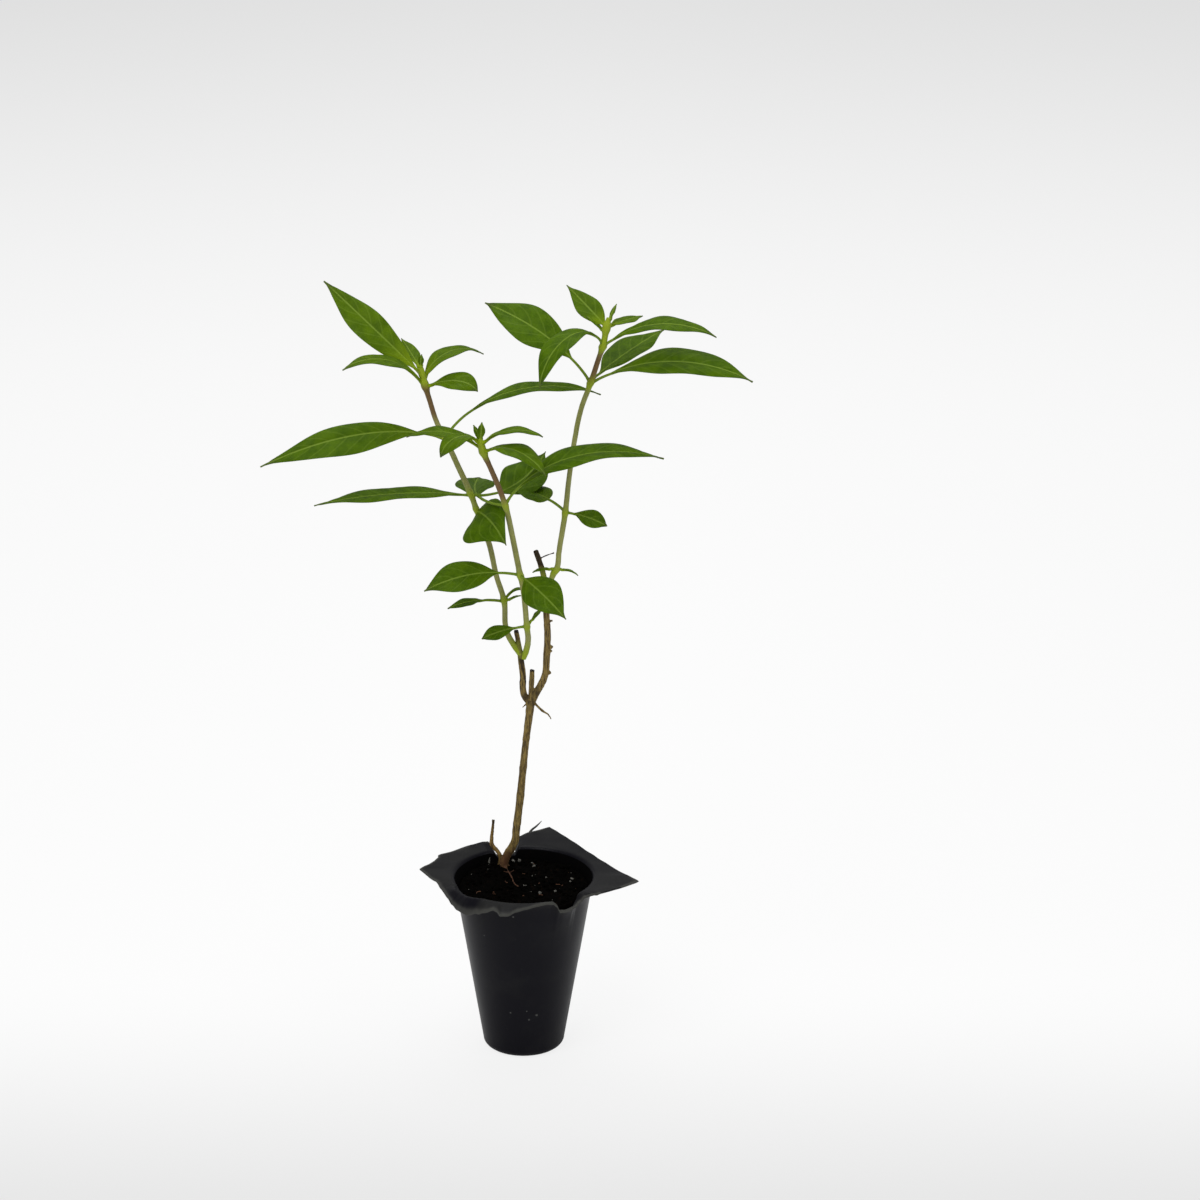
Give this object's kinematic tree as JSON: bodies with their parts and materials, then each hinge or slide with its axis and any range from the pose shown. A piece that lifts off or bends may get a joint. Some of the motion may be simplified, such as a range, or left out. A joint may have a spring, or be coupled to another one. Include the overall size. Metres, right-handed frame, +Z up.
{
  "type": "potted cuphea",
  "caption": "Young potted cuphea with slender leafy shoots on a cut-back woody stem, in a thin black starter pot whose square flange is torn.",
  "frame": {"origin": "centre of the pot's base, where it stands", "axes": "+Z up along the plant, +X to the right and -Y to the front in the picture"},
  "size_m": [0.1807, 0.0795, 0.2938],
  "materials": {
    "plastic": "satin",
    "soil": "matte",
    "bark": "matte",
    "dead_wood": "matte",
    "shoot": "satin",
    "leaf": "satin",
    "young_leaf": "satin"
  },
  "bodies": {
    "root": {"pot": "plastic", "soil": "soil", "woody_stem": "bark", "dead_twig": "dead_wood", "left_shoot": "shoot", "middle_shoot": "shoot", "right_shoot": "shoot", "left_shoot_leaf_low_left": "leaf", "left_shoot_leaf_middle_left": "leaf", "left_shoot_leaf_middle_right": "leaf", "left_shoot_leaf_middle_front": "leaf", "left_shoot_leaf_upper_left": "leaf", "left_shoot_leaf_upper_right": "leaf", "left_shoot_leaf_top_back_left": "young_leaf", "left_shoot_leaf_top_front_left": "young_leaf", "left_shoot_leaf_top_back": "young_leaf", "left_shoot_leaf_top_right": "young_leaf", "left_shoot_leaf_top_front_right": "young_leaf", "middle_shoot_leaf_low_left": "leaf", "middle_shoot_leaf_middle_left": "leaf", "middle_shoot_leaf_middle_right": "leaf", "middle_shoot_leaf_upper_left": "leaf", "middle_shoot_leaf_upper_right": "leaf", "middle_shoot_leaf_top_front_left": "young_leaf", "middle_shoot_leaf_top_left": "young_leaf", "middle_shoot_leaf_top_right": "young_leaf", "middle_shoot_leaf_top_front_right": "young_leaf", "right_shoot_leaf_low_left": "leaf", "right_shoot_leaf_low_right": "leaf", "right_shoot_leaf_middle_left": "leaf", "right_shoot_leaf_middle_right": "leaf", "right_shoot_leaf_middle_back": "leaf", "right_shoot_leaf_upper_left": "leaf", "right_shoot_leaf_upper_right": "leaf", "right_shoot_leaf_top_left": "young_leaf", "right_shoot_leaf_top_right": "young_leaf"}
  },
  "joints": []
}
